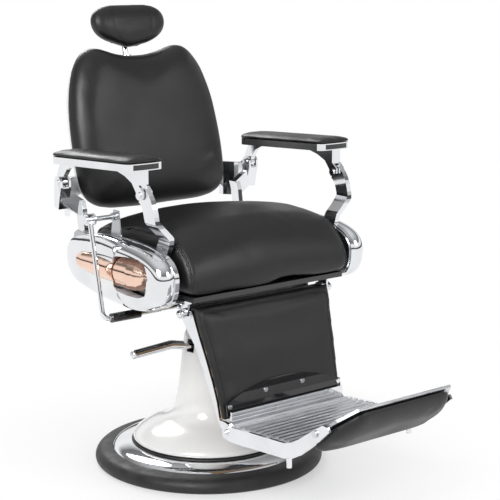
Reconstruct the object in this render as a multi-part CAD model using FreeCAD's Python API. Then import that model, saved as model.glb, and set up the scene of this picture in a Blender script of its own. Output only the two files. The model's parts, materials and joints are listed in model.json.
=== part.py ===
"""Hydraulic barber chair: every separate piece is one STEP file in parts/.

Frame: millimetres, +Z up, the chair faces -Y, origin on the floor at the centre of the round base.
"""
import FreeCAD, Part
import math
import os

V = FreeCAD.Vector

# ---------------------------------------------------------------- driving dimensions
BASE_R = 310.0            # rubber ring, outside
RING_R = 262.0            # chrome ring, outside
BELL_R = 207.0            # flared foot of the white cover
BELL_TOP_Z = 358.0
CYL_R, RAM_R = 41.0, 30.0
RAM_BOTTOM_Z, RAM_TOP_Z = 180.0, 484.0

LEVER_PIVOT = (-50.0, -8.0, 318.0)    # pump lever, x y z
LEVER_TIP_X = -262.0

SEAT_FRONT_Y, SEAT_BACK_Y = -275.0, 188.0
SEAT_HALF_W, SEAT_CROWN = 265.0, 28.0
BOARD_Z0, BOARD_Z1 = 512.0, 525.0
PLATE_X0 = SEAT_HALF_W + 19            # steel side plate, inside and outside faces
PLATE_X1 = PLATE_X0 + 3
TRIM_X1 = PLATE_X1 + 12
DOME_X = TRIM_X1 + 53                  # outermost face of a side casing

STRAP_X0 = SEAT_HALF_W + 4             # lower part of the arm supports
STRAP_X1 = PLATE_X0 - 1
NECK_X0 = SEAT_HALF_W - 7              # lower part of the back castings
NECK_X1 = NECK_X0 + 14
ARM_X = TRIM_X1 + 20.5                 # middle of an arm linkage
REST_X, REST_HALF = ARM_X - 5, 52.5    # middle and half width of an armrest
RAIL_H = 18.0                          # height of the armrest's tray
P_STRAP = (-172.0, 628.0)              # y z of the four pivots of the arm linkage
P_FRONT = (-157.0, 775.0)
P_BACK = (193.0, 618.0)
P_REAR = (208.0, 765.0)
ARM_Z, ARM_SLOPE = 846.5, -0.042       # top of the arm tray at y = 0, and its rise per mm of y
ARM_Y0, ARM_Y1 = -160.0, 205.0

BACK_TILT = 14.17                      # backrest, degrees from upright
BACK_ORIGIN = (0.0, 224.0, 672.0)      # middle of its lower edge
KNOB = (12.0, 697.0)                   # y z of the recline lever's pivot
LEVER_X = -(DOME_X + 14)

LEG_PIVOT = (-205.0, 476.0)
LEG_BASE_Z, LEG_FLARE = 220.0, 0.105   # the leg rest widens by this much per mm above its base height
RAIL_X0, RAIL_X1 = 189.0, 197.0        # faces of a rail at the base height
FOOT_X0, FOOT_X1 = 198.0, 205.0
FLIP_PIVOT = (-656.0, 271.0)
FLIP_SLOPE = 38.0
RIB_PITCH, RIB_COUNT = 20.5, 11

os.makedirs("parts", exist_ok=True)


# ---------------------------------------------------------------- helpers
def save(name, shape):
    shape.exportStep("parts/" + name + ".step")


def box(x0, x1, y0, y1, z0, z1):
    return Part.makeBox(x1 - x0, y1 - y0, z1 - z0, V(x0, y0, z0))


def rod(r, a, b):
    a, b = V(*a), V(*b)
    return Part.makeCylinder(r, (b - a).Length, a, b - a)


def tube(r_out, r_in, a, b):
    return rod(r_out, a, b).cut(rod(r_in, a, b))


def fuse(*shapes):
    out = shapes[0].fuse(list(shapes[1:])) if len(shapes) > 1 else shapes[0]
    return out.removeSplitter()


def lathe(points, axis_point=(0, 0, 0), axis=(0, 0, 1)):
    """Revolves (radius, height) points round the vertical axis."""
    wire = Part.makePolygon([V(r, 0, z) for r, z in points] + [V(points[0][0], 0, points[0][1])])
    return Part.Face(wire).revolve(V(*axis_point), V(*axis), 360)


def lathe_spline(curve, closing):
    """Revolves a smooth (radius, height) curve closed by straight lines through `closing`."""
    spline = Part.BSplineCurve()
    spline.interpolate([V(r, 0, z) for r, z in curve])
    ends = [curve[-1]] + list(closing) + [curve[0]]
    lines = [Part.makeLine(V(a[0], 0, a[1]), V(b[0], 0, b[1])) for a, b in zip(ends, ends[1:])]
    return Part.Face(Part.Wire([spline.toShape()] + lines)).revolve(V(), V(0, 0, 1), 360)


def plate_yz(points, x0, x1):
    """A flat plate with a (y, z) outline between two x planes."""
    wire = Part.makePolygon([V(x0, y, z) for y, z in points] + [V(x0, *points[0])])
    return Part.Face(wire).extrude(V(x1 - x0, 0, 0))


def plate_xz(points, y0, y1):
    wire = Part.makePolygon([V(x, y0, z) for x, z in points] + [V(points[0][0], y0, points[0][1])])
    return Part.Face(wire).extrude(V(0, y1 - y0, 0))


def plate_xy(points, z0, z1):
    wire = Part.makePolygon([V(x, y, z0) for x, y in points] + [V(points[0][0], points[0][1], z0)])
    return Part.Face(wire).extrude(V(0, 0, z1 - z0))


def closed_curve(points):
    spline = Part.BSplineCurve()
    spline.interpolate(points, PeriodicFlag=True)
    return Part.Wire(spline.toShape())


def ribbon(path, half):
    """Outline of a band of half-width `half` that follows a plane path of (a, b) points."""
    left, right = [], []
    for i, (a, b) in enumerate(path):
        p, q = path[max(i - 1, 0)], path[min(i + 1, len(path) - 1)]
        da, db = q[0] - p[0], q[1] - p[1]
        n = math.hypot(da, db)
        left.append((a - db / n * half, b + da / n * half))
        right.append((a + db / n * half, b - da / n * half))
    return left + right[::-1]


def pillow_ring(points, place, depth, inset):
    """A closed (a, b) outline drawn in by `inset` on every side and put at `depth` by place(a, b, depth)."""
    a0, a1 = min(p[0] for p in points), max(p[0] for p in points)
    b0, b1 = min(p[1] for p in points), max(p[1] for p in points)
    ca, cb = (a0 + a1) / 2, (b0 + b1) / 2
    sa, sb = 1 - 2 * inset / (a1 - a0), 1 - 2 * inset / (b1 - b0)
    return closed_curve([place(ca + (a - ca) * sa, cb + (b - cb) * sb, depth) for a, b in points])


def pillow(points, place, levels, straight=False):
    """A solid through copies of one outline; levels are (depth, inset)."""
    return Part.makeLoft([pillow_ring(points, place, depth, inset) for depth, inset in levels], True, straight)


def bent_rod(r, points, bend):
    """A round rod through straight runs joined by arcs of radius `bend`."""
    pts = [V(*p) for p in points]
    edges, start = [], pts[0]
    for i in range(1, len(pts) - 1):
        u, w = (pts[i - 1] - pts[i]).normalize(), (pts[i + 1] - pts[i]).normalize()
        half = math.acos(max(-1, min(1, u.dot(w)))) / 2
        cut = bend / math.tan(half)
        a, b = pts[i] + u * cut, pts[i] + w * cut
        mid = pts[i] + (u + w).normalize() * (bend / math.sin(half) - bend)
        edges += [Part.makeLine(start, a), Part.Arc(a, mid, b).toShape()]
        start = b
    edges.append(Part.makeLine(start, pts[-1]))
    path = Part.Wire(edges)
    ring = Part.Wire(Part.makeCircle(r, pts[0], pts[1] - pts[0]))
    return path.makePipeShell([ring], True, True)


def mirrored(shape):
    return shape.mirror(V(), V(1, 0, 0))


def save_pair(name, shape):
    """Saves a piece modelled on the sitter's left, +X, and its mirror image on the right."""
    save(name + "_l", shape)
    save(name + "_r", mirrored(shape))


def save_both(name, shape):
    """Saves a piece and its mirror image as two solids of one node."""
    save(name, Part.makeCompound([shape, mirrored(shape)]))


def smooth_path(points, steps=6):
    """More points along a smooth curve through the given (a, b) points."""
    spline = Part.BSplineCurve()
    spline.interpolate([V(a, b, 0) for a, b in points])
    count = steps * (len(points) - 1)
    t0, t1 = spline.FirstParameter, spline.LastParameter
    return [(p.x, p.y) for p in (spline.value(t0 + (t1 - t0) * i / count) for i in range(count + 1))]


def arm_top(y):
    return ARM_Z + ARM_SLOPE * y


# ---------------------------------------------------------------- floor base
base = lathe([(0, 0), (261, 0), (261, 33), (205, 50), (198, 50), (190, 16), (62, 16), (62, 30), (19.95, 30),
              (19.95, 62), (0, 62)])
base = base.cut(lathe([(74, -1), (186, -1), (186, 7), (74, 7)]))
save("base_plate", base.cut(lathe([(214, -1), (247, -1), (247, 22), (232, 30), (214, 34)])))
rubber = lathe_spline([(296, 0), (307, 3), (310, 11), (308, 22), (298, 33), (283, 38), (264, 39.5)],
                      [(262, 39.5), (262, 0)])
save("base_rubber_ring", rubber)
ring = lathe_spline([(262, 39), (255, 45), (240, 50), (222, 53.5), (206, 55)], [(205, 50.3), (262, 33.3)])
save("base_ring", ring)
save("base_bearing", tube(56, 34, (0, 0, 30), (0, 0, 36)))
save("base_gasket", lathe([(199, 50.3), (204.5, 50.3), (204.5, 55.6), (211, 55.6), (209, 59), (199, 59)]))

# ---------------------------------------------------------------- swivelling column
bell_curve = [(203.5, 61), (206.5, 64), (206, 69), (197, 80), (180, 92), (155, 104), (130, 113), (110, 125),
              (97, 143), (89, 168), (83, 200), (77.5, 245), (72.5, 290), (68, 330), (65, 347), (60, BELL_TOP_Z)]
bell_inner = [(r - 3.2, z - (3.2 if r > 95 else 0)) for r, z in bell_curve[4:-1]]
bell = lathe_spline(bell_curve, [(56.5, BELL_TOP_Z)] + bell_inner[::-1] + [(196, 76), (198, 61)])
slot = box(-100, -40, LEVER_PIVOT[1] - 13.5, LEVER_PIVOT[1] + 13.5, 306, 341)
save("pedestal_cover", bell.cut(slot))
save("cover_collar", lathe([(30.8, 350), (56.2, 350), (56.2, 363), (50, 368), (30.8, 368)]))
cylinder = tube(CYL_R, RAM_R + 0.05, (0, 0, 62.5), (0, 0, 349.5))
foot = lathe([(20.0, 36), (58, 36), (58, 46), (CYL_R + 4, 54), (CYL_R, 74), (RAM_R + 0.05, 74),
              (RAM_R + 0.05, 66), (20.0, 66)])
save("pump_cylinder", fuse(cylinder, foot))
px, py, pz = LEVER_PIVOT
ears = [box(px - 6, -CYL_R + 14, py + s * 17.5 - 4.5, py + s * 17.5 + 4.5, pz - 13, pz + 13) for s in (-1, 1)]
pin = rod(5.0, (px, py - 22, pz), (px, py + 22, pz))
save("lever_bracket", fuse(*ears, pin).cut(rod(CYL_R, (0, 0, 250), (0, 0, 350))))

# pump lever
boss = rod(8.5, (px, py - 12.5, pz), (px, py + 12.5, pz))
neck = bent_rod(7.5, [(px - 1, py, pz), (px - 24, py, pz + 6), (px - 50, py, pz + 14)], 40)
grip = bent_rod(12.0, [(px - 46, py, pz + 12.5), (px - 80, py, pz + 20), (LEVER_TIP_X + 12, py, pz + 13)], 60)
lever = fuse(boss, neck, grip, Part.makeSphere(12.0, V(LEVER_TIP_X + 12, py, pz + 13)))
save("pump_lever", lever.cut(rod(5.05, (px, py - 20, pz), (px, py + 20, pz))))

# ---------------------------------------------------------------- lifting seat frame
save("ram", rod(RAM_R, (0, 0, RAM_BOTTOM_Z), (0, 0, RAM_TOP_Z)))
chassis = fuse(box(-150, 150, -165, 165, RAM_TOP_Z, 492),
               tube(48, RAM_R, (0, 0, 476), (0, 0, RAM_TOP_Z)),
               box(-215, 215, -162.5, -158.5, 462, 492),
               *[box(-PLATE_X0, PLATE_X0, y - 12.5, y + 12.5, 492, BOARD_Z0) for y in (-150, 118)])
save("seat_chassis", chassis)
BOARD_HALF_W = SEAT_HALF_W - 17
save("seat_board", box(-BOARD_HALF_W, BOARD_HALF_W, SEAT_FRONT_Y + 15, SEAT_BACK_Y - 12, BOARD_Z0, BOARD_Z1))


def seat_ring(y, half, z0, seam):
    """Closed section of the seat cushion across the chair; `seam` is the height of its side edges."""
    arch = [(k * half, seam + SEAT_CROWN * (1 - k ** 2)) for k in (0.93, 0.8, 0.6, 0.3)]
    right = [(half * 0.5, z0), (half - 24, z0), (half - 5, z0 + 0.1 * (seam - z0)), (half, z0 + 0.35 * (seam - z0)),
             (half, seam - 0.16 * (seam - z0)), (half - 3, seam - 1)] + arch
    pts = [(0, z0)] + right + [(0, seam + SEAT_CROWN)] + [(-x, z) for x, z in right[::-1]]
    return closed_curve([V(x, y, z) for x, z in pts])


SEAT_RINGS = [(SEAT_FRONT_Y, -9, 541, 556), (-273, -4, 534, 572), (-266, -1, 529, 590), (-253, 0, 526.5, 612),
              (-235, 0, 526.5, 634), (-212, 0, 526.5, 654), (-175, 0, 526.5, 668), (-120, 0, 526.5, 676),
              (-60, 0, 526.5, 677), (0, 0, 526.5, 672), (60, -3, 526.5, 664), (120, -9, 526.5, 655),
              (160, -15, 526.5, 644), (180, -20, 530, 632), (SEAT_BACK_Y, -27, 540, 612)]
cushion = Part.makeLoft([seat_ring(y, SEAT_HALF_W + wider, z0, seam) for y, wider, z0, seam in SEAT_RINGS],
                        True, False)
save("seat_cushion", cushion.cut(box(-300, 300, -400, 300, 480, BOARD_Z1 + 0.3)))

# ---------------------------------------------------------------- side casings
CASING = [(-254, 568), (-250, 592), (-236, 612), (-212, 627), (-176, 638), (-114, 647), (-50, 651), (17, 650),
          (85, 643), (150, 630), (195, 615), (216, 596), (224, 570), (218, 540), (196, 516), (160, 503),
          (110, 495), (49, 487), (-20, 483.5), (-90, 481.5), (-150, 485), (-200, 496), (-236, 515), (-250, 541)]
TORPEDO = (TRIM_X1 + 14.5, 571.0)      # x z of its axis, which lies along Y


def outline(points, x, inset):
    """The casing outline scaled in by `inset` on every side."""
    return pillow_ring(points, lambda a, b, d: V(d, a, b), x, inset)


def turned_y(points, x, z):
    """Revolves (radius, y) points round an axis along Y."""
    wire = Part.makePolygon([V(x + r, y, z) for r, y in points] + [V(x + points[0][0], points[0][1], z)])
    return Part.Face(wire).revolve(V(x, 0, z), V(0, 1, 0), 360)


def casing_dome(swell, thinner, fall):
    """The bulging cover over the casing outline; `fall` is how fast its crown sinks to the rear."""
    def place(a, b, d):
        crown = (d - TRIM_X1) / (DOME_X - TRIM_X1)
        return V(d - thinner - fall * (a - SEAM_Y) * crown, a, b)

    levels = [(TRIM_X1, 4), (315, 0), (333, 4), (343, 12), (349, 26), (DOME_X, 50)]
    return pillow(CASING, place, [(x, inset - swell + thinner) for x, inset in levels])


def swollen(profile, by):
    """A turned profile with every radius but those on the axis larger by `by`."""
    return [(r and max(r + by, 0.5), y) for r, y in profile]


SEAM_Y = -98.0
SEAM = [(-122, 470), (-108, 492), (-80, 524), (-64, 555), (-62, 590), (-70, 616), (-90, 636), (-124, 651),
        (-150, 662)]
REAR_FALL, FRONT_FALL = 0.15, -0.02
SKIN = 2.5                    # thickness of the casings' and torpedoes' shells
tx, tz = TORPEDO
cone = [(0, 142), (9, 141), (17, 137), (22, 128), (25, 110), (29, 66), (36, -5), (40, -57), (0, -57)]
bullet = [(0, -57), (36, -57), (36, -63), (41, -69), (41.5, -118), (37.5, -143), (25, -164), (9, -174), (0, -175)]
recess = [(0, -57), (47, -57), (57, -72), (60, -120), (59, -165), (52, -192), (36, -204), (0, -208)]
pocket = fuse(turned_y(swollen(cone, 0.2), tx, tz), turned_y(recess, tx, tz))
wall = fuse(turned_y([(0, 147)] + swollen(cone[1:-1], 0.2 + SKIN) + [(0, -60)], tx, tz),
            turned_y([(0, -54.5)] + swollen(recess[1:-1], SKIN) + [(0, -211)], tx, tz))
front_edge = [(-400, 400), (-122, 400)] + SEAM + [(-150, 800), (-400, 800)]
front_zone = plate_yz(front_edge, 250, 400)
rear_zone = box(250, 400, -400, 300, 400, 800).cut(plate_yz([(y + 0.8, z) for y, z in front_edge], 250, 400))
rear = casing_dome(0, 0, REAR_FALL).common(rear_zone).cut(pocket)
save_pair("casing_rear", rear.cut(casing_dome(0, SKIN, REAR_FALL).cut(wall)))
front = casing_dome(1.2, 0, FRONT_FALL).common(front_zone).cut(pocket)
save_pair("casing_front", front.cut(casing_dome(1.2, SKIN, FRONT_FALL).cut(wall)))
beyond = box(TRIM_X1, 400, -300, 300, 400, 800)
hollow_cone = [(0, 136), (12, 132)] + swollen(cone[3:-1], -SKIN) + [(0, -57)]
hollow_nose = [(0, -57), (32, -57)] + swollen(bullet[3:-2], -SKIN - 1) + [(0, -168)]
save_both("torpedo_cones", turned_y(cone, tx, tz).common(beyond).cut(turned_y(hollow_cone, tx, tz)))
save_both("torpedo_noses", turned_y(bullet, tx, tz).common(beyond).cut(turned_y(hollow_nose, tx, tz)))
trim = Part.Face([outline(CASING, PLATE_X1, 0), outline(CASING, PLATE_X1, 11)])
trim = trim.extrude(V(TRIM_X1 - PLATE_X1, 0, 0))
save_both("casing_trims", trim)
plate = Part.Face(outline(CASING, PLATE_X0, 5)).extrude(V(PLATE_X1 - PLATE_X0, 0, 0))
ear = plate_yz([(120, 560), (212, 606), (208, 628), (193, 637), (175, 634), (120, 628)], PLATE_X0, PLATE_X1)
front_ear = plate_yz([(-196, 612), (-191, 636), (-181, 643), (-163, 643), (-153, 636), (-148, 612)],
                     PLATE_X0, PLATE_X1)
plate = fuse(plate, ear, front_ear)
save_both("side_plates", plate)
pins = []
for s in (-1, 1):
    for (y, z), head in ((P_STRAP, STRAP_X0 + 0.4), (P_BACK, NECK_X0 - 4.5)):
        pins.append(fuse(rod(6.0, (s * head, y, z), (s * PLATE_X0, y, z)),
                         rod(9.5, (s * head, y, z), (s * (head + 2), y, z))))
save("frame_pins", Part.makeCompound(pins))

# recline lever on the chair's right side
kx = LEVER_X
ky, kz = KNOB
support = plate_yz([(ky - 22, 640), (ky - 12, 712), (ky + 12, 712), (ky + 24, 640)], -PLATE_X1, -PLATE_X0)
support = fuse(support, rod(10, (-PLATE_X1, ky, kz), (-300, ky, kz)), rod(6, (-300, ky, kz), (kx + 12, ky, kz)))
save("lever_support", support.cut(mirrored(plate)))
knob = fuse(rod(14.5, (kx - 11, ky, kz), (kx + 11.5, ky, kz)), rod(9, (kx - 15, ky, kz), (kx - 11, ky, kz)))
knob = knob.cut(rod(6.05, (kx - 9, ky, kz), (kx + 12, ky, kz)))
foot_y, foot_z = -40.0, 449.0
crank = bent_rod(6.5, [(kx, ky - 2, kz - 10), (kx, foot_y, foot_z), (-190, foot_y, foot_z)], 18)
knob = knob.cut(rod(5.9, (kx - 9, ky, kz), (kx + 12, ky, kz)))
lever = fuse(knob, crank.cut(rod(6.05, (kx - 9, ky, kz), (kx + 12, ky, kz))))
catch = [rod(5.0, (-190, foot_y, foot_z), (-132, foot_y, foot_z)),
         rod(8.0, (-136, foot_y, foot_z), (-122, foot_y, foot_z))]
save("recline_lever", fuse(lever, *catch))
save("recline_grip", tube(12.0, 6.5, (kx + 24, foot_y, foot_z), (-256, foot_y, foot_z)))

# leg-rest shaft, held between two hangers
ly, lz = LEG_PIVOT
shaft = [rod(8, (-249, ly, lz), (249, ly, lz))]
for s in (-1, 1):
    shaft.append(plate_yz([(ly - 12, lz - 6), (ly + 12, lz - 6), (ly + 26, BOARD_Z0), (ly - 16, BOARD_Z0)],
                          s * 229.5, s * 236.5))
    shaft.append(box(min(s * 228, s * 250), max(s * 228, s * 250), ly - 20, ly + 24, 502, BOARD_Z0))
    shaft.append(rod(12.5, (s * 236.5, ly, lz), (s * 249, ly, lz)))
    shaft.append(Part.makeSphere(10, V(s * 249, ly, lz)))
save("leg_shaft", fuse(*shaft))

# ---------------------------------------------------------------- arm supports
strap_mid = (STRAP_X0 + STRAP_X1) / 2
s_curve = [(strap_mid, 600), (strap_mid, 632), (strap_mid, 660)] + \
    smooth_path([(strap_mid + 1, 668), (strap_mid + 12, 679), (ARM_X - 12, 699), (ARM_X - 1, 711)], 4) + \
    [(ARM_X, 720), (ARM_X, 760), (ARM_X, 800)]
side_line = smooth_path([P_STRAP, (-184, 648), (-191, 672), (-191, 700), (-185, 732), (-175, 757), P_FRONT], 3)
strap = plate_xz(ribbon(s_curve, 7), -260, -80)
strap = strap.common(fuse(plate_yz(ribbon(side_line, 21.5), 240, 340), rod(21, (240, *P_STRAP), (340, *P_STRAP)),
                          rod(17, (240, *P_FRONT), (340, *P_FRONT))))
groove = [(x + 9.5, z - (7 if 664 < z < 715 else 0)) for x, z in s_curve]
channel = plate_xz(ribbon(groove, 5), -260, -80).common(plate_yz(ribbon(side_line[3:-4], 15), 240, 345))
strap = strap.cut(channel)
strap = strap.cut(rod(6.05, (240, *P_STRAP), (290, *P_STRAP)))
strap = strap.cut(rod(10, (240, *P_STRAP), (STRAP_X0 + 2.8, *P_STRAP)))
strap = strap.cut(rod(5.05, (300, *P_FRONT), (340, *P_FRONT)))
save_pair("arm_support", strap)

# ---------------------------------------------------------------- armrests
def rest_plan(inset, along=()):
    """Plan of an armrest, a bowed front end with tight corners and a rounder rear end; `along` adds points."""
    half, y0, y1 = REST_HALF - inset, ARM_Y0 + inset, ARM_Y1 - inset
    edge = [(0, y0 - 4), (half - 30, y0 - 3), (half - 9, y0), (half - 2, y0 + 6), (half, y0 + 18)]
    edge += [(half, y) for y in along]
    edge += [(half, y1 - 44), (half - 4, y1 - 24), (half - 17, y1 - 8), (half - 36, y1), (0, y1 + 1)]
    return edge + [(-a, b) for a, b in edge[-2:0:-1]]


def rest_block(inset, drop0, drop1):
    """The armrest's plan between two depths under its sloping top face."""
    rings = [Part.makePolygon([V(REST_X + a, b, arm_top(b) - drop) for a, b in rest_plan(inset) + rest_plan(inset)[:1]])
             for drop in (drop0, drop1)]
    return Part.makeLoft(rings, True, True)


WINDOW_HALF = 38.0
window = box(REST_X - WINDOW_HALF, REST_X + WINDOW_HALF, ARM_Y0 - 10, ARM_Y0 + 2, 0, 900)
window = window.common(rest_block(0.0, 2.5, RAIL_H - 2.5).cut(rest_block(2.5, 0, RAIL_H)))
rail = rest_block(0, 0, RAIL_H).cut(rest_block(3, 4, RAIL_H + 1))
save_pair("arm_rail", rail.cut(window))
save_pair("arm_inlay", window)
gusset = [(-60, arm_top(-60) - 4), (-60, arm_top(-60) - 22), (-98, 817), (-127.5, 803), (-144, 782), (-148, 770),
          (-150, 764), (-164, 764), (-172, 772), (-172, 786), (-156, 800), (-156, arm_top(-156) - 4)]
head = [(-60, arm_top(-60) - 4), (-60, arm_top(-60) - 22), (-98, 817), (-124, 805), (-142, 797), (-156, 797),
        (-156, arm_top(-156) - 4)]
cheeks = [plate_yz(gusset, ARM_X + a, ARM_X + b) for a, b in ((-15, -9), (9, 15))]
bracket = fuse(plate_yz(head, ARM_X - 15, ARM_X + 15), *cheeks)
strut = fuse(plate_yz([(140, arm_top(140) - 4), (192, arm_top(192) - 4), (214, 803), (223, 782), (222, 762), (198, 762),
                       (194, 780), (176, 802), (140, arm_top(140) - 22)], ARM_X - 7, ARM_X + 7),
             rod(14, (ARM_X - 7, *P_REAR), (ARM_X + 7, *P_REAR))).cut(
             rod(5.8, (ARM_X - 9, *P_REAR), (ARM_X + 9, *P_REAR)))
save_pair("arm_strut", strut)
pin = fuse(rod(5, (ARM_X - 15, *P_FRONT), (ARM_X + 15, *P_FRONT)),
           *[rod(8.5, (ARM_X + a, *P_FRONT), (ARM_X + b, *P_FRONT)) for a, b in ((-18.5, -15), (15, 18.5))])
save_pair("arm_bracket", fuse(bracket, pin))
pad = pillow(rest_plan(-2.5, (-120, -85, -40, 10, 60, 100, 135)), lambda a, b, d: V(REST_X + a, b, arm_top(b) + d),
             [(0.4, 3), (2, 0.8), (4, 0), (7, 0), (9, 1.8), (11, 5), (13, 11), (14.5, 19), (15.5, 30)], True)
save_pair("arm_pad", pad)

# ---------------------------------------------------------------- backrest
tilt = math.radians(BACK_TILT)
bx, by, bz = BACK_ORIGIN


def on_back(a, v, n):
    """A point at `a` across, `v` up and `n` out of the backrest."""
    return V(bx + a, by + v * math.sin(tilt) - n * math.cos(tilt), bz + v * math.cos(tilt) + n * math.sin(tilt))


def back_rod(r, a, v0, v1, n):
    return rod(r, on_back(a, v0, n), on_back(a, v1, n))


half = [(95, -1), (156, 2), (206, 14), (236, 42), (246, 85), (249, 140), (248, 195), (245, 245), (240, 291),
        (230, 335), (216, 378), (196, 413), (171, 438), (143, 448), (106, 440), (55, 424)]
BACK = [(0, -2)] + half + [(0, 419)] + [(-a, v) for a, v in half[::-1]]
BACK_LEVELS = [(-23, 5.5), (-16, -0.5), (-8, -3.5), (4, -3.5), (14, -1), (24, 4.5), (33, 13.5), (41, 28.5),
               (47, 51.5), (50.5, 82), (52, 122)]
back_cushion = pillow(BACK, on_back, BACK_LEVELS, True)
save("backrest_cushion", back_cushion)
socket_hole = back_rod(13, 0, 240, 440, -41)
shell = pillow(BACK, on_back, [(-24, 14), (-34, 15), (-42, 20), (-50, 30), (-58, 50), (-64, 92)], True)
hollow = pillow(BACK, on_back, [(-23, 17.5), (-33, 18.5), (-39, 23.5), (-47, 33.5), (-55, 53), (-60.5, 95)], True)
shell = shell.cut(hollow).cut(socket_hole)
board = pillow(BACK, on_back, [(-31, 19.5), (-24.5, 19)])
board = board.cut(socket_hole)
socket = back_rod(12, 0, 292, 424, -41).cut(back_rod(8.05, 0, 280, 440, -41))
collar = back_rod(15, 0, 418, 426, -41).cut(back_rod(8.05, 0, 280, 440, -41))
save("headrest_socket", fuse(socket, collar))

# cast brackets that carry the backrest and the rear of the armrests
web_xz = [(212, 765), (302, 762), (309, 772), (336, 772), (337, 748), (331, 722), (316, 700), (297, 684),
          (290, 668), (262, 668), (262, 690), (250, 704), (212, 716)]
web_plan = smooth_path([(205, 287), (238, 284), (266, 268), (292, 232), (312, 214), (345, 207)], 3)
web = plate_xz(web_xz, 150, 320).common(plate_xy(ribbon(web_plan, 7.5), 650, 790))
knuckle = plate_yz([(192, 752), (193, 770), (200, 780), (216, 780), (223, 770), (224, 744), (226, 700), (205, 694),
                    (200, 720)], ARM_X - 16, ARM_X + 16)
fork = plate_yz([(180, 749), (180, 800), (240, 800), (240, 749)], ARM_X - 9.5, ARM_X + 9.5)
neck = plate_yz([(P_BACK[0] - 15, 618), (P_BACK[0] + 15, 618), (220, 690), (228, 712), (196, 712), (188, 690)],
                NECK_X0, NECK_X1)
neck = fuse(neck, rod(17, (NECK_X0, *P_BACK), (NECK_X1, *P_BACK)))
elbow = plate_xz([(NECK_X0, 672), (NECK_X1, 672), (300, 690), (330, 716), (330, 740), (300, 740), (NECK_X0, 712)],
                 199, 219)
casting = fuse(web, knuckle, neck, elbow).cut(fork)
pin = fuse(rod(5, (ARM_X - 16, *P_REAR), (ARM_X + 16, *P_REAR)),
           *[rod(8, (ARM_X + a, *P_REAR), (ARM_X + b, *P_REAR)) for a, b in ((-19, -16), (16, 19))])
save_pair("back_casting", fuse(casting.cut(rod(6.05, (240, *P_BACK), (290, *P_BACK))), pin))
save("backrest_shell", shell.cut(casting).cut(mirrored(casting)))
save("backrest_board", board.cut(casting).cut(mirrored(casting)))

# ---------------------------------------------------------------- headrest
POST_N = -41.0
TILT_V = 492.0
eye = rod(9, on_back(-9, TILT_V, POST_N), on_back(9, TILT_V, POST_N))
post = fuse(back_rod(8.0, 0, 205, TILT_V - 5, POST_N), eye)
save("headrest_post", post.cut(rod(4.05, on_back(-10, TILT_V, POST_N), on_back(10, TILT_V, POST_N))))
lugs = [rod(9, on_back(s * 9.3, TILT_V, POST_N), on_back(s * 15, TILT_V, POST_N)) for s in (-1, 1)]
back_plate = pillow([(0, 455), (55, 460), (70, 492), (60, 530), (0, 536), (-60, 530), (-70, 492), (-55, 460)],
                    on_back, [(-30.5, 2), (-26.5, 0)])
back_plate = back_plate.cut(back_rod(17, 0, 430, 478, POST_N))
arms = [Part.makeLoft([Part.makePolygon([on_back(s * a, v, n) for a, v in
                                         ((9.3, TILT_V - 9), (15, TILT_V - 9), (15, TILT_V + 9), (9.3, TILT_V + 9),
                                          (9.3, TILT_V - 9))]) for n in (POST_N, -29)], True, True) for s in (-1, 1)]
save("headrest_plate", fuse(back_plate, *lugs, *arms, rod(4, on_back(-15, TILT_V, POST_N), on_back(15, TILT_V, POST_N))))
half = [(48, 450), (88, 465), (112, 485), (121, 509), (116, 535), (92, 554), (50, 561)]
HEAD = [(0, 441)] + half + [(0, 561)] + [(-a, v) for a, v in half[::-1]]
HEAD_LEVELS = [(-26, 9), (-20, 3), (-12, 0), (0, 0), (7, 3), (13, 8), (18, 15), (22, 25), (24, 38)]
save("headrest_pad", pillow(HEAD, on_back, HEAD_LEVELS, True))

# ---------------------------------------------------------------- leg rest
def flared(x, z):
    """Distance `x` from the middle, given at the base height, at height z of the leg rest."""
    return x + LEG_FLARE * (z - LEG_BASE_Z)


def flared_plate(points, side, x0, x1):
    """A flat plate with a (y, z) outline that leans outward by the leg rest's flare."""
    wire = Part.makePolygon([V(side * flared(x0, z), y, z) for y, z in points + points[:1]])
    return Part.Face(wire).extrude(V(side * (x1 - x0), 0, 0))


def flared_zone(half):
    """Everything between the two flared faces that lie `half` from the middle."""
    return plate_xz([(-flared(half, 190), 190), (flared(half, 190), 190), (flared(half, 500), 500),
                     (-flared(half, 500), 500)], -345, -180)


RAIL = [(-200, 492), (-171, 470), (-180, 448), (-194, 427), (-219, 392), (-240, 345), (-260, 289), (-273, 248),
        (-290, 205), (-303, 182), (-322, 174), (-336, 184), (-334, 198), (-326, 209), (-316, 212), (-293.5, 212.5),
        (-289, 258), (-278, 305), (-260, 362), (-239, 420), (-224, 468), (-218, 487)]
SPACER = (-330.0, 191.0)
rails = [flared_plate(RAIL, s, RAIL_X0, RAIL_X1) for s in (-1, 1)]
rails += [rod(17, (s * 214, ly, lz), (s * 226, ly, lz)) for s in (-1, 1)]
rails += [rod(9, (s * 188, *SPACER), (s * FOOT_X0, *SPACER)) for s in (-1, 1)]
frame = fuse(rod(13, (-218, ly, lz), (218, ly, lz)), *rails)
save("leg_frame", frame.cut(rod(8.05, (-230, ly, lz), (230, ly, lz))))
LEG_FRONT = [(-236, 491), (-248, 463), (-262, 414), (-278, 366), (-296, 304), (-310, 255), (-316, 214)]
LEG_BACK = [(-296, 214), (-291, 258), (-280, 305), (-262, 362), (-241, 420), (-226, 468), (-221, 491)]
back_face = smooth_path(LEG_BACK, 3)
pad = plate_yz(smooth_path(LEG_FRONT, 3) + back_face, -230, 230)
save("leg_pad", pad.common(flared_zone(RAIL_X1)))
behind = ribbon(back_face[:-2], 3.3)[len(back_face) - 2:][::-1]
save("leg_board", plate_yz(ribbon(behind, 3), -230, 230).common(flared_zone(RAIL_X0)))
kick_path = [(-297.5, 316), (-304.5, 292), (-308.5, 276), (-314.7, 254), (-318, 232), (-318.8, 225)]
KICK_HALF = 192.0
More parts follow.
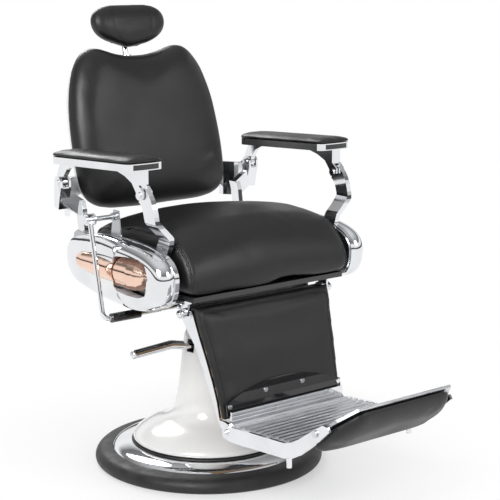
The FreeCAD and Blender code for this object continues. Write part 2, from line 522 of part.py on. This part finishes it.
arch = [(-KICK_HALF, 226), (-KICK_HALF, 256)]
arch += [(a, 296 - (a / KICK_HALF) ** 2 * 40) for a in range(-160, 161, 20)]
arch += [(KICK_HALF, 256), (KICK_HALF, 226)]
kick = plate_yz(ribbon(kick_path, 1.5), -KICK_HALF, KICK_HALF).common(plate_xz(arch, -340, -280))
tacks = [rod(6.5, (x, y - 1, z), (x, y - 4.5, z - 0.8)) for x, y, z in
         ((-183, -316.0, 250), (-62, -310.4, 272), (62, -310.4, 272), (183, -316.0, 250))]
save("kick_plate", kick.cut(Part.makeCompound(tacks)))
save("kick_screws", Part.makeCompound(tacks))
save("foot_bar", box(-186.9, 186.9, -331, -324, 206.7, 239))


def deck(y):
    """Height of the ribbed plate's sheet at y."""
    return 207 - (y + 338) * 0.054


sheet = plate_yz([(-336, deck(-336)), (-562, deck(-562)), (-562, deck(-562) - 6), (-336, deck(-336) - 6)], -197.5, 197.5)
sheet = fuse(sheet, plate_yz([(-300, deck(-300)), (-340, deck(-340)), (-340, deck(-340) - 6),
                              (-300, deck(-300) - 6)], -185, 185))
ribs = []
for i in range(RIB_COUNT):
    y = -345 - i * RIB_PITCH
    ribs.append(plate_yz([(y + 5, deck(y) - 1), (y - 5, deck(y) - 1), (y - 3.5, deck(y) + 4), (y + 3.5, deck(y) + 4)],
                         -188, 188))
save("footplate", fuse(sheet, *ribs))
SIDE = [(-318, 176), (-314, 192), (-322, 204), (-345, 209), (-417, 214), (-492, 218), (-548, 221), (-574, 229),
        (-600, 244), (-654, 281), (-680, 297), (-696, 296), (-703, 286), (-667, 254), (-633, 227), (-602, 204),
        (-578, 191), (-547, 183), (-463, 178), (-392, 173), (-345, 171)]
fy, fz = FLIP_PIVOT
side = plate_yz(SIDE, FOOT_X0, FOOT_X1).cut(rod(5.05, (190, fy, fz), (210, fy, fz)))
save_both("foot_sides", side)
bolts = [fuse(rod(9, (s * FOOT_X1, -330, 191), (s * (FOOT_X1 + 3), -330, 191)),
              rod(5.5, (s * FOOT_X1, -330, 191), (s * (FOOT_X1 + 6), -330, 191))) for s in (-1, 1)]
save("foot_bolts", Part.makeCompound(bolts))
save_both("foot_bumpers", rod(6.5, (201, -562, 164), (201, -562, 195)).cut(side).cut(box(190, 210, -600, -500, 188, 200)))

# flip-over foot pad
slope = math.radians(FLIP_SLOPE)


def on_flip(a, u, n):
    """A point at `a` across, `u` towards the free edge and `n` out of the pad's face."""
    return V(a, fy - u * math.cos(slope) - n * math.sin(slope), fz + u * math.sin(slope) - n * math.cos(slope))


FLIP = [(-188, -66), (188, -66), (191, -20), (191, 40), (184, 62), (152, 110), (-152, 110), (-184, 62), (-191, 40),
        (-191, -20)]
leaf = Part.Face(Part.makePolygon([on_flip(a, u, -3) for a, u in FLIP + FLIP[:1]]))
board = leaf.extrude(on_flip(0, 0, 4) - on_flip(0, 0, -3))
lugs = [rod(9, on_flip(s * 183, 0, -2), on_flip(s * 194, 0, -2)) for s in (-1, 1)]
soft = [(0, -64), (60, -64), (120, -64), (165, -63), (183, -54), (187, -36), (187, -5), (187, 25), (183, 46),
        (172, 66), (158, 90), (145, 103), (120, 107), (60, 108), (0, 108)]
soft = soft + [(-a, u) for a, u in soft[-2:0:-1]]
pad = pillow(soft, lambda a, u, n: on_flip(a, u - 22 * (u + 64) / 172 * (n / 42) ** 2, n), [(4.3, 3), (9, 0), (18, 0), (26, 3), (33, 9), (38, 18), (41, 30), (42.5, 45)],
             True)
save("flip_pad", pad.cut(fuse(*[rod(9.5, on_flip(s * 180, 0, -2), on_flip(s * 200, 0, -2)) for s in (-1, 1)])))
pins = [fuse(rod(5, (s * 184, fy, fz), (s * (FOOT_X1 + 2), fy, fz)),
             rod(8.5, (s * FOOT_X1 + s * 0.4, fy, fz), (s * (FOOT_X1 + 4.5), fy, fz))) for s in (-1, 1)]
save("flip_board", fuse(board, *lugs, *pins))
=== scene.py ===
"""Looks of the hydraulic barber chair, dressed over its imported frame."""
import json
import math

import bpy
import bmesh
from mathutils import Matrix, Vector
from mathutils.bvhtree import BVHTree
from mathutils.kdtree import KDTree

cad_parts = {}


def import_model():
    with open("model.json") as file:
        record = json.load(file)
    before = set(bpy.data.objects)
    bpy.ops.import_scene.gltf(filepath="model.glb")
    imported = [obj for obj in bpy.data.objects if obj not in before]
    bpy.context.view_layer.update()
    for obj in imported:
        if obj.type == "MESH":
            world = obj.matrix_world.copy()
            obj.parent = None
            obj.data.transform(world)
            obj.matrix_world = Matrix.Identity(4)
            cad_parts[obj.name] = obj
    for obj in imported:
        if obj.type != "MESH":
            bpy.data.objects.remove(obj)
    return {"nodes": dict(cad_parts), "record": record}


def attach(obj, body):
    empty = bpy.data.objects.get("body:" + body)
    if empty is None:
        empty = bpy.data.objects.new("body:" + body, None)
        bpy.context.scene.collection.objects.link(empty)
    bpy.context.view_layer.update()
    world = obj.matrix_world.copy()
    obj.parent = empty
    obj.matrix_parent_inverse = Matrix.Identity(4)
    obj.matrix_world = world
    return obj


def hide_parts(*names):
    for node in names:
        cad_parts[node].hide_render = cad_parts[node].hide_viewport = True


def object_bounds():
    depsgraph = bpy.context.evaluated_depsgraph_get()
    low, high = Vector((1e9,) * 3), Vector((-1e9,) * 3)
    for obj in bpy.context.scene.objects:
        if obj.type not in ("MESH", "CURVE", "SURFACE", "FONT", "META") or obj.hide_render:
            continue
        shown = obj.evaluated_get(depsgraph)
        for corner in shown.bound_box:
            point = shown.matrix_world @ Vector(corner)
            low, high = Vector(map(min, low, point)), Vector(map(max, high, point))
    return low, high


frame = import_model()
nodes = frame["nodes"]
cad_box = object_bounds()


# ---------------------------------------------------------------- materials
def shader(name, color, rough, metallic=0.0, coat=0.0):
    """A principled material with its node tree, ready for detail."""
    mat = bpy.data.materials.new(name)
    mat.use_nodes = True
    tree = mat.node_tree
    p = tree.nodes["Principled BSDF"]
    p.inputs["Base Color"].default_value = (*color, 1)
    p.inputs["Roughness"].default_value = rough
    p.inputs["Metallic"].default_value = metallic
    p.inputs["Coat Weight"].default_value = coat
    return mat, tree, p


def noise(tree, scale, detail=3.0, stretch=(1, 1, 1), kind="ShaderNodeTexNoise"):
    """A texture fixed to the piece, for small variations."""
    coord = tree.nodes.new("ShaderNodeTexCoord")
    place = tree.nodes.new("ShaderNodeMapping")
    place.inputs["Scale"].default_value = stretch
    tex = tree.nodes.new(kind)
    tex.inputs["Scale"].default_value = scale
    if "Detail" in tex.inputs:
        tex.inputs["Detail"].default_value = detail
    tree.links.new(coord.outputs["Object"], place.inputs["Vector"])
    tree.links.new(place.outputs["Vector"], tex.inputs["Vector"])
    return tex.outputs[0]


def spread(tree, value, low, high, a=0.3, b=0.7):
    """Maps value from a..b to low..high."""
    m = tree.nodes.new("ShaderNodeMapRange")
    for key, v in (("From Min", a), ("From Max", b), ("To Min", low), ("To Max", high)):
        m.inputs[key].default_value = v
    tree.links.new(value, m.inputs["Value"])
    return m.outputs["Result"]


def tint(tree, p, value, dark, light):
    """Lets the colour wander between two close tones."""
    ramp = tree.nodes.new("ShaderNodeValToRGB")
    low, high = ramp.color_ramp.elements
    low.position, high.position = 0.35, 0.65
    low.color, high.color = (*dark, 1), (*light, 1)
    tree.links.new(value, ramp.inputs["Fac"])
    tree.links.new(ramp.outputs["Color"], p.inputs["Base Color"])


def bump(tree, p, value, strength, distance, under=None):
    """Raises the surface by `value`, on top of an earlier bump `under`."""
    b = tree.nodes.new("ShaderNodeBump")
    b.inputs["Strength"].default_value = strength
    b.inputs["Distance"].default_value = distance
    tree.links.new(value, b.inputs["Height"])
    if under:
        tree.links.new(under, b.inputs["Normal"])
    tree.links.new(b.outputs["Normal"], p.inputs["Normal"])
    return b.outputs["Normal"]


def plated(name, color, rough):
    """Polished plating: faint smears in the gloss and a slow unevenness in the surface."""
    mat, tree, p = shader(name, color, rough, metallic=1.0)
    smear = noise(tree, 14, 4)
    tree.links.new(spread(tree, smear, rough * 0.6, rough * 1.9), p.inputs["Roughness"])
    tint(tree, p, smear, [c * 0.9 for c in color], [c * 0.97 for c in color])
    bump(tree, p, noise(tree, 9, 1), 0.3, 0.0012)
    return mat


def leatherette():
    """Matt black cover with pores, a fine grain and slow waves."""
    mat, tree, p = shader("black_leatherette", (0.007, 0.007, 0.008), 0.40)
    pores = noise(tree, 620, kind="ShaderNodeTexVoronoi")
    fine = noise(tree, 260, 5)
    broad = noise(tree, 7, 3)
    tree.links.new(spread(tree, broad, 0.34, 0.5), p.inputs["Roughness"])
    tint(tree, p, fine, (0.0045, 0.0045, 0.005), (0.009, 0.009, 0.0095))
    first = bump(tree, p, pores, 0.22, 0.0006)
    second = bump(tree, p, fine, 0.12, 0.0006, first)
    bump(tree, p, broad, 0.35, 0.003, second)
    return mat


def enamel(name, rough, coat):
    """White enamel under a clear coat."""
    mat, tree, p = shader(name, (0.80, 0.80, 0.79), rough, coat=coat)
    p.inputs["Coat Roughness"].default_value = 0.06
    tint(tree, p, noise(tree, 5, 2), (0.77, 0.77, 0.76), (0.82, 0.82, 0.81))
    bump(tree, p, noise(tree, 160, 2), 0.05, 0.0005)
    return mat


def rubber():
    """Black rubber, a little dusty."""
    mat, tree, p = shader("black_rubber", (0.012, 0.012, 0.012), 0.5)
    dust = noise(tree, 30, 5)
    tree.links.new(spread(tree, dust, 0.38, 0.6), p.inputs["Roughness"])
    tint(tree, p, dust, (0.009, 0.009, 0.009), (0.02, 0.02, 0.02))
    bump(tree, p, noise(tree, 400, 3), 0.15, 0.0005)
    return mat


def lacquer(name, color, rough):
    """Paint or casting under a clear coat."""
    mat, tree, p = shader(name, color, rough, coat=0.5)
    p.inputs["Coat Roughness"].default_value = 0.04
    tint(tree, p, noise(tree, 8, 3), [c * 0.85 for c in color], [c * 1.1 for c in color])
    tree.links.new(spread(tree, noise(tree, 40, 4), rough * 0.7, rough * 1.5), p.inputs["Roughness"])
    bump(tree, p, noise(tree, 120, 2), 0.04, 0.0004)
    return mat


def brushed(name, color, rough, along=(1, 40, 40)):
    """Metal with brush lines; `along` stretches the lines."""
    mat, tree, p = shader(name, color, rough, metallic=1.0)
    lines = noise(tree, 18, 6, along)
    tree.links.new(spread(tree, lines, rough * 0.7, rough * 1.4), p.inputs["Roughness"])
    tint(tree, p, lines, [c * 0.88 for c in color], color)
    bump(tree, p, lines, 0.12, 0.0003)
    return mat


def plywood():
    """Bare plywood with its grain across the chair."""
    mat, tree, p = shader("plywood", (0.42, 0.28, 0.16), 0.7)
    grain = noise(tree, 6, 6, (1, 22, 60))
    tint(tree, p, grain, (0.30, 0.19, 0.10), (0.50, 0.35, 0.21))
    bump(tree, p, grain, 0.2, 0.0008)
    return mat


MAT = {
    "cast_iron": lacquer("dark_casting", (0.03, 0.03, 0.032), 0.45),
    "rubber": rubber(),
    "chrome": plated("chrome_plate", (0.86, 0.87, 0.89), 0.045),
    "enamel": enamel("white_enamel", rough=0.2, coat=0.6),
    "black_paint": lacquer("black_paint", (0.018, 0.018, 0.02), 0.35),
    "steel": brushed("brushed_steel", (0.55, 0.56, 0.58), 0.28),
    "ply": plywood(),
    "leatherette": leatherette(),
    "copper": plated("rose_copper", (0.96, 0.68, 0.55), 0.09),
    "black_gloss": lacquer("black_gloss", (0.008, 0.008, 0.009), 0.08),
    "white_shell": enamel("white_shell", rough=0.3, coat=0.3),
    "aluminium": brushed("ribbed_aluminium", (0.74, 0.75, 0.77), 0.3),
}


def paint(obj, slot):
    """Gives a piece the one material of its slot."""
    obj.data.materials.clear()
    obj.data.materials.append(MAT[slot])


for part in frame["record"]["subparts"]:
    paint(nodes[part["node"]], part["material_slot"])


def paint_recess_shade():
    """Painted shade in the recess round each torpedo: its walls that face the torpedo's axis get a duller,
    greyer finish than the chrome.
    """
    axis_x, axis_z = 0.3135, 0.571
    reach, rear_y, least_facing = 0.0603, 0.140, 0.35
    # painted shade: a greyer, less metallic finish on the recess walls stands in for the shade inside the
    # recess
    recess_shade = brushed("recess_painted_shade", (0.78, 0.78, 0.80), 0.5, (20, 2, 20))
    recess_shade.node_tree.nodes["Principled BSDF"].inputs["Metallic"].default_value = 0.35
    for node in ("casing_front_l", "casing_front_r", "casing_rear_l", "casing_rear_r"):
        shell = nodes[node]
        shell.data.materials.append(recess_shade)
        for face in shell.data.polygons:
            at = shell.matrix_world @ face.center
            spoke = Vector((abs(at.x) - axis_x, at.z - axis_z))
            outward = Vector((math.copysign(1, at.x) * face.normal.x, face.normal.z))
            inside = spoke.length < reach and at.y < rear_y
            if inside and outward.dot(spoke.normalized()) < -least_facing:
                face.material_index = 1


paint_recess_shade()


# ---------------------------------------------------------------- making soft pieces
CLOTH_FRAMES, CLOTH_PRESSURE = 20, 4.0


def link(obj):
    """Puts an object into the scene."""
    bpy.context.scene.collection.objects.link(obj)
    return obj


def apply_modifiers(obj):
    """Keeps the result of the modifiers as the object's own mesh."""
    shape = obj.evaluated_get(bpy.context.evaluated_depsgraph_get())
    mesh = bpy.data.meshes.new_from_object(shape)
    obj.modifiers.clear()
    obj.data = mesh


def shade_smooth(obj):
    for face in obj.data.polygons:
        face.use_smooth = True


def relax(bm, times):
    """Evens out a mesh."""
    for _ in range(times):
        bmesh.ops.smooth_vert(
            bm, verts=bm.verts, factor=0.5, use_axis_x=True, use_axis_y=True, use_axis_z=True
        )


def soft_copy(name, node, voxel, inward, times):
    """An even, closed copy of a soft solid, relaxed and drawn in so that it has room to swell."""
    mesh = bpy.data.meshes.new_from_object(nodes[node])
    mesh.transform(nodes[node].matrix_world)
    obj = link(bpy.data.objects.new(name, mesh))
    even = obj.modifiers.new("even", "REMESH")
    even.mode, even.voxel_size = "VOXEL", voxel
    apply_modifiers(obj)
    bm = bmesh.new()
    bm.from_mesh(obj.data)
    relax(bm, times)
    bm.normal_update()
    for v in bm.verts:
        v.co -= v.normal * inward
    bm.to_mesh(obj.data)
    bm.free()
    return obj


def swell(obj, held, most, calm):
    """Fills the cover with air. Points where held(co) is true stay; others move `most` at the furthest."""
    start = [v.co.copy() for v in obj.data.vertices]
    group = obj.vertex_groups.new(name="held")
    group.add([i for i, co in enumerate(start) if held(co)], 1.0, "REPLACE")
    cloth = obj.modifiers.new("cloth", "CLOTH")
    cloth.settings.quality = 4
    cloth.settings.mass = 0.3
    cloth.settings.use_pressure = True
    cloth.settings.uniform_pressure_force = CLOTH_PRESSURE
    cloth.settings.effector_weights.gravity = 0
    cloth.settings.vertex_group_mass = "held"
    cloth.collision_settings.use_collision = False
    cloth.point_cache.frame_end = CLOTH_FRAMES
    for frame_no in range(1, CLOTH_FRAMES + 1):
        bpy.context.scene.frame_set(frame_no)
    shape = obj.evaluated_get(bpy.context.evaluated_depsgraph_get())
    moved = [v.co.copy() for v in shape.data.vertices]
    obj.modifiers.clear()
    obj.vertex_groups.clear()
    bpy.context.scene.frame_set(1)
    bm = bmesh.new()
    bm.from_mesh(obj.data)
    for v, a, b in zip(bm.verts, start, moved):
        step = b - a
        v.co = a + step * min(1, most / max(step.length, 1e-9))
    relax(bm, calm)
    bm.to_mesh(obj.data)
    bm.free()


def resample(points, step, closed=False):
    """Points at even steps along a smooth line through `points`."""
    pts = [Vector(p) for p in points]
    n = len(pts)
    out = []
    for i in range(n if closed else n - 1):
        p0 = pts[(i - 1) % n] if closed or i else pts[0]
        p1, p2 = pts[i], pts[(i + 1) % n]
        p3 = pts[(i + 2) % n] if closed or i + 2 < n else p2
        count = max(1, round((p2 - p1).length / step))
        for k in range(count):
            t = k / count
            out.append(0.5 * (2 * p1 + (p2 - p0) * t + (2 * p0 - 5 * p1 + 4 * p2 - p3) * t * t
                              + (3 * p1 - p0 - 3 * p2 + p3) * t ** 3))
    return out if closed else out + [pts[-1]]


def on_surface(obj, points, lift=0.0):
    """The nearest places on obj's surface, raised by `lift`."""
    corners = [v.co for v in obj.data.vertices]
    tree = BVHTree.FromPolygons(corners, [f.vertices[:] for f in obj.data.polygons])
    found = [tree.find_nearest(p) for p in points]
    return [hit + normal * lift for hit, normal, _, _ in found]


def pinch(obj, points, reach, depth):
    """Draws the surface in along a line of points, as a seam does."""
    tree = KDTree(len(points))
    for i, p in enumerate(points):
        tree.insert(p, i)
    tree.balance()
    for v in obj.data.vertices:
        _, _, far = tree.find(v.co)
        if far < reach:
            v.co -= v.normal * depth * (1 - far / reach) ** 2


def piping(name, points, radius, closed, body):
    """A round welt along a line."""
    curve = bpy.data.curves.new(name, "CURVE")
    curve.dimensions, curve.bevel_depth, curve.bevel_resolution = "3D", radius, 2
    line = curve.splines.new("POLY")
    line.points.add(len(points) - 1)
    for point, co in zip(line.points, points):
        point.co = (*co, 1)
    line.use_cyclic_u = closed
    curve.use_fill_caps = True
    shape = link(bpy.data.objects.new(name + "_line", curve))
    mesh = bpy.data.meshes.new_from_object(shape.evaluated_get(bpy.context.evaluated_depsgraph_get()))
    bpy.data.objects.remove(shape)
    obj = link(bpy.data.objects.new(name, mesh))
    mesh.materials.clear()
    mesh.materials.append(MAT["leatherette"])
    shade_smooth(obj)
    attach(obj, body)


def finish_pad(obj, body, node):
    """One subdivision, smooth shading, the cover's material, and its place in the frame."""
    obj.modifiers.new("round", "SUBSURF").levels = 1
    apply_modifiers(obj)
    obj.data.materials.clear()
    obj.data.materials.append(MAT["leatherette"])
    shade_smooth(obj)
    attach(obj, body)
    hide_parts(node)


# ---------------------------------------------------------------- seat
SEAT_REST_Z = 0.545           # the cushion is held below this height
SEAT_WELT_X = 0.262           # distance of the side welts from the middle
SEAT_TAPER_Y, SEAT_TAPER = 0.03, 0.16   # behind this y the welts close in at this rate
SEAT_SEAM = [(0.188, 0.612), (0.160, 0.641), (0.118, 0.652), (0.071, 0.660), (0.026, 0.668),
             (-0.019, 0.674), (-0.063, 0.677), (-0.105, 0.677), (-0.139, 0.673), (-0.175, 0.666),
             (-0.212, 0.654), (-0.235, 0.634), (-0.253, 0.612), (-0.266, 0.588), (-0.272, 0.560),
             (-0.272, 0.538)]


def seam_half(y):
    """Distance of the side seams from the middle, less towards the back."""
    return SEAT_WELT_X - max(0, y - SEAT_TAPER_Y) * SEAT_TAPER


def make_seat():
    """Cushion with a welt along each side and round its front roll."""
    seat = soft_copy("seat_soft", "seat_cushion", voxel=0.0065, inward=0.002, times=8)
    swell(seat, lambda co: co.z < SEAT_REST_Z, most=0.0035, calm=12)
    for side, word in ((1, "l"), (-1, "r")):
        guide = resample([(side * seam_half(y), y, z) for y, z in SEAT_SEAM], step=0.003)
        pinch(seat, on_surface(seat, guide), reach=0.014, depth=0.003)
        welt = on_surface(seat, guide, lift=0.0008)
        piping("seat_piping_" + word, welt, radius=0.0028, closed=False, body="seat")
    finish_pad(seat, "seat", "seat_cushion")


# ---------------------------------------------------------------- backrest and headrest
BACK_TILT = math.radians(14.17)
BACK_AT = Vector((0, 0.224, 0.672))     # middle of the backrest's lower edge
UP_BACK = Vector((0, math.sin(BACK_TILT), math.cos(BACK_TILT)))
OUT_BACK = Vector((0, -math.cos(BACK_TILT), math.sin(BACK_TILT)))
BACK_REST, HEAD_REST = -0.012, -0.016   # the cushion and the pad are held below this, out of the back's plane
HEAD_SEAM = [(0.052, 0.450), (0.060, 0.475), (0.063, 0.505), (0.061, 0.535), (0.050, 0.562)]
HEAD_SEAM_OUT = 0.03


def out_of_back(co):
    """How far a point stands out of the backrest's plane."""
    return (co - BACK_AT).dot(OUT_BACK)


def make_backrest():
    """Plain cushion, held at its rear edge."""
    back = soft_copy("backrest_soft", "backrest_cushion", voxel=0.0065, inward=0.002, times=14)
    swell(back, lambda co: out_of_back(co) < BACK_REST, most=0.0035, calm=16)
    finish_pad(back, "backrest", "backrest_cushion")


def make_headrest():
    """Pad with a seam down each side of its front panel."""
    head = soft_copy("headrest_soft", "headrest_pad", voxel=0.0045, inward=0.001, times=6)
    swell(head, lambda co: out_of_back(co) < HEAD_REST, most=0.002, calm=8)
    for side in (-1, 1):
        guide = [BACK_AT + Vector((side * a, 0, 0)) + UP_BACK * v + OUT_BACK * HEAD_SEAM_OUT
                 for a, v in HEAD_SEAM]
        pinch(head, on_surface(head, resample(guide, step=0.002)), reach=0.008, depth=0.0016)
    finish_pad(head, "headrest", "headrest_pad")


# ---------------------------------------------------------------- leg rest
LEG_FRONT = [(-0.236, 0.491), (-0.248, 0.463), (-0.262, 0.414), (-0.278, 0.366), (-0.296, 0.304),
             (-0.310, 0.255), (-0.316, 0.214)]
LEG_TOP_Z, LEG_BOTTOM_Z = LEG_FRONT[0][1], LEG_FRONT[-1][1]
LEG_BASE_Z, LEG_BASE_HALF = 0.220, 0.197
LEG_FLARE = 0.105                       # how much the half width grows per metre of height
FRONT_SKIN, FREE_SKIN = 0.014, 0.010    # depth behind the front that is drawn back, and that may swell
EDGE_REACH, EDGE_DEPTH = 0.035, 0.006   # how far the front's edges are rounded, and how deep
WELT_INSET, WELT_INSET_R = 0.012, 0.020   # from the front's edges; the right-hand edge has its own


def leg_front(z):
    """y of the leg rest's front at height z."""
    for (y0, z0), (y1, z1) in zip(LEG_FRONT, LEG_FRONT[1:]):
        if z >= z1 or z1 == LEG_BOTTOM_Z:
            return y0 + (y1 - y0) * (z - z0) / (z1 - z0)


def leg_half(z):
    """Half width of the leg rest at height z."""
    return LEG_BASE_HALF + LEG_FLARE * (z - LEG_BASE_Z)


def leg_welt():
    """Guide of the welt round the front, with its corners left out so that they come out round."""
    sides = (0.24, 0.32, 0.40, 0.465)
    across = (-0.85, -0.4, 0.4, 0.85)
    top_half = leg_half(0.478) - WELT_INSET
    bottom_half = leg_half(0.226) - WELT_INSET
    guide = [(-leg_half(z) + WELT_INSET_R, z) for z in sides]
    guide += [(a * top_half, 0.480) for a in across]
    guide += [(leg_half(z) - WELT_INSET, z) for z in reversed(sides)]
    guide += [(a * bottom_half, 0.224) for a in reversed(across)]
    return resample([(x, leg_front(z), z) for x, z in guide], step=0.003, closed=True)


def make_leg_rest():
    """Pad whose front edges are drawn back so that its middle crowns, with a welt round its front."""
    leg = soft_copy("leg_soft", "leg_pad", voxel=0.005, inward=0.0005, times=3)
    for v in leg.data.vertices:
        x, y, z = v.co
        front = max(0.0, min(1.0, 1 - (y - leg_front(z)) / FRONT_SKIN))
        edge = min(leg_half(z) - abs(x), z - LEG_BOTTOM_Z, LEG_TOP_Z - z)
        v.co.y += front * EDGE_DEPTH * max(0.0, 1 - edge / EDGE_REACH) ** 2
    swell(leg, lambda co: co.y > leg_front(co.z) + FREE_SKIN, most=0.0015, calm=5)
    guide = leg_welt()
    pinch(leg, on_surface(leg, guide), reach=0.009, depth=0.0012)
    welt = on_surface(leg, guide, lift=0.0002)
    piping("leg_piping", welt, radius=0.0018, closed=True, body="leg_rest")
    finish_pad(leg, "leg_rest", "leg_pad")


# ---------------------------------------------------------------- flip-over foot pad
FLIP_AT = Vector((0, -0.656, 0.271))    # the pad's pivot
FLIP_SLOPE = math.radians(38)
OUT_FLIP = Vector((0, -math.sin(FLIP_SLOPE), -math.cos(FLIP_SLOPE)))
FLIP_REST = 0.012                       # the pad is held below this, out from its pivot


def make_flip_pad():
    """Pad held along its board."""
    flip = soft_copy("flip_soft", "flip_pad", voxel=0.005, inward=0.0012, times=5)
    swell(flip, lambda co: (co - FLIP_AT).dot(OUT_FLIP) < FLIP_REST, most=0.002, calm=8)
    finish_pad(flip, "foot_flap", "flip_pad")


# ---------------------------------------------------------------- arm pads
ARM_Z, ARM_SLOPE = 0.8465, -0.042       # top of the arm tray at y = 0, and its rise per metre of y
ARM_REST = 0.004                        # the pads are held below this height over the tray


def make_arm_pads():
    """One pad is filled and the other is its mirror image."""
    left = soft_copy("arm_soft_l", "arm_pad_l", voxel=0.004, inward=0.0006, times=3)
    swell(left, lambda co: co.z < ARM_Z + ARM_SLOPE * co.y + ARM_REST, most=0.0012, calm=4)
    right = link(bpy.data.objects.new("arm_soft_r", left.data.copy()))
    right.data.transform(Matrix.Diagonal((-1, 1, 1, 1)))
    right.data.flip_normals()
    finish_pad(left, "armrest_l", "arm_pad_l")
    finish_pad(right, "armrest_r", "arm_pad_r")


for make in (make_seat, make_backrest, make_headrest, make_leg_rest, make_flip_pad, make_arm_pads):
    make()


# ---------------------------------------------------------------- studio
def backdrop():
    """A white floor that keeps the chair's shadow near its base."""
    mat, tree, p = shader("pale_floor", (0.86, 0.86, 0.86), 0.6)
    tint(tree, p, noise(tree, 1.5, 2), (0.86, 0.86, 0.86), (0.88, 0.88, 0.88))
    glow = tree.nodes.new("ShaderNodeEmission")
    coord = tree.nodes.new("ShaderNodeTexCoord")
    length = tree.nodes.new("ShaderNodeVectorMath")
    length.operation = "LENGTH"
    tree.links.new(coord.outputs["Object"], length.inputs[0])
    # the glow grows from 0.45 at 0.33 m from the chair's axis to 1 at 0.8 m
    far = spread(tree, length.outputs["Value"], low=0.45, high=1.0, a=0.33, b=0.8)
    rays = tree.nodes.new("ShaderNodeLightPath")
    either = tree.nodes.new("ShaderNodeMath")
    either.operation = "MAXIMUM"
    tree.links.new(rays.outputs["Is Camera Ray"], either.inputs[0])
    tree.links.new(rays.outputs["Is Glossy Ray"], either.inputs[1])
    fac = tree.nodes.new("ShaderNodeMath")
    fac.operation = "MULTIPLY"
    tree.links.new(far, fac.inputs[0])
    tree.links.new(either.outputs[0], fac.inputs[1])
    mix = tree.nodes.new("ShaderNodeMixShader")
    tree.links.new(fac.outputs[0], mix.inputs["Fac"])
    tree.links.new(p.outputs[0], mix.inputs[1])
    tree.links.new(glow.outputs[0], mix.inputs[2])
    tree.links.new(mix.outputs[0], tree.nodes["Material Output"].inputs["Surface"])
    mesh = bpy.data.meshes.new("floor")
    bm = bmesh.new()
    bmesh.ops.create_circle(bm, cap_ends=True, segments=96, radius=60)
    bm.to_mesh(mesh)
    bm.free()
    floor = link(bpy.data.objects.new("floor", mesh))
    floor.location.z = cad_box[0][2] - 0.0005
    mesh.materials.append(mat)


def world():
    """Even light, white to the camera; what glossy surfaces mirror has darker bands by height."""
    w = bpy.data.worlds.new("studio")
    bpy.context.scene.world = w
    w.use_nodes = True
    tree = w.node_tree
    back = tree.nodes["Background"]
    back.inputs["Color"].default_value = (0.55, 0.55, 0.56, 1)
    seen = tree.nodes.new("ShaderNodeBackground")
    mirrored = tree.nodes.new("ShaderNodeBackground")
    coord = tree.nodes.new("ShaderNodeTexCoord")
    split = tree.nodes.new("ShaderNodeSeparateXYZ")
    tree.links.new(coord.outputs["Generated"], split.inputs[0])
    ramp = tree.nodes.new("ShaderNodeValToRGB")
    low, high = ramp.color_ramp.elements
    low.position, high.position = 0.0, 0.95
    low.color, high.color = (0.03, 0.03, 0.03, 1), (0.75, 0.75, 0.76, 1)
    for height, grey in ((0.09, 0.12), (0.15, 0.95), (0.34, 1.0), (0.44, 0.18), (0.6, 0.3)):
        stop = ramp.color_ramp.elements.new(height)
        stop.color = (grey, grey, grey, 1)
    tree.links.new(split.outputs["Z"], ramp.inputs["Fac"])
    tree.links.new(ramp.outputs["Color"], mirrored.inputs["Color"])
    seen.inputs["Color"].default_value = (1, 1, 1, 1)
    rays = tree.nodes.new("ShaderNodeLightPath")
    first = tree.nodes.new("ShaderNodeMixShader")
    tree.links.new(rays.outputs["Is Glossy Ray"], first.inputs["Fac"])
    tree.links.new(back.outputs[0], first.inputs[1])
    tree.links.new(mirrored.outputs[0], first.inputs[2])
    mix = tree.nodes.new("ShaderNodeMixShader")
    tree.links.new(rays.outputs["Is Camera Ray"], mix.inputs["Fac"])
    tree.links.new(first.outputs[0], mix.inputs[1])
    tree.links.new(seen.outputs[0], mix.inputs[2])
    tree.links.new(mix.outputs[0], tree.nodes["World Output"].inputs["Surface"])


def lamp(name, at, aim, size, power):
    """A round area lamp."""
    data = bpy.data.lights.new(name, "AREA")
    data.shape, data.size, data.energy = "DISK", size, power
    obj = link(bpy.data.objects.new(name, data))
    obj.location = at
    obj.rotation_euler = (Vector(aim) - Vector(at)).to_track_quat("-Z", "Y").to_euler()


backdrop()
world()
lamp("key", at=(-2.9, -1.6, 2.6), aim=(0, 0, 0.6), size=1.8, power=95)
lamp("fill", at=(1.2, -3.2, 2.4), aim=(0, 0, 0.6), size=1.6, power=30)
lamp("rim", at=(0.6, 2.8, 2.6), aim=(0, 0, 0.7), size=1.4, power=40)


def camera(at, heading, tilt, lens):
    """Looks `heading` from +Y towards +X and `tilt` downwards, in radians, through a lens in mm."""
    cam = link(bpy.data.objects.new("camera", bpy.data.cameras.new("camera")))
    level = math.cos(tilt)
    forward = Vector((math.sin(heading) * level, math.cos(heading) * level, -math.sin(tilt)))
    cam.location = at
    cam.rotation_euler = forward.to_track_quat("-Z", "Y").to_euler()
    cam.data.sensor_width, cam.data.lens = 36.0, lens
    bpy.context.scene.camera = cam


camera(at=(-2.3644, -3.0187, 1.3339), heading=0.693845, tilt=0.195481, lens=105.13)
bpy.context.scene.view_settings.view_transform = "Standard"
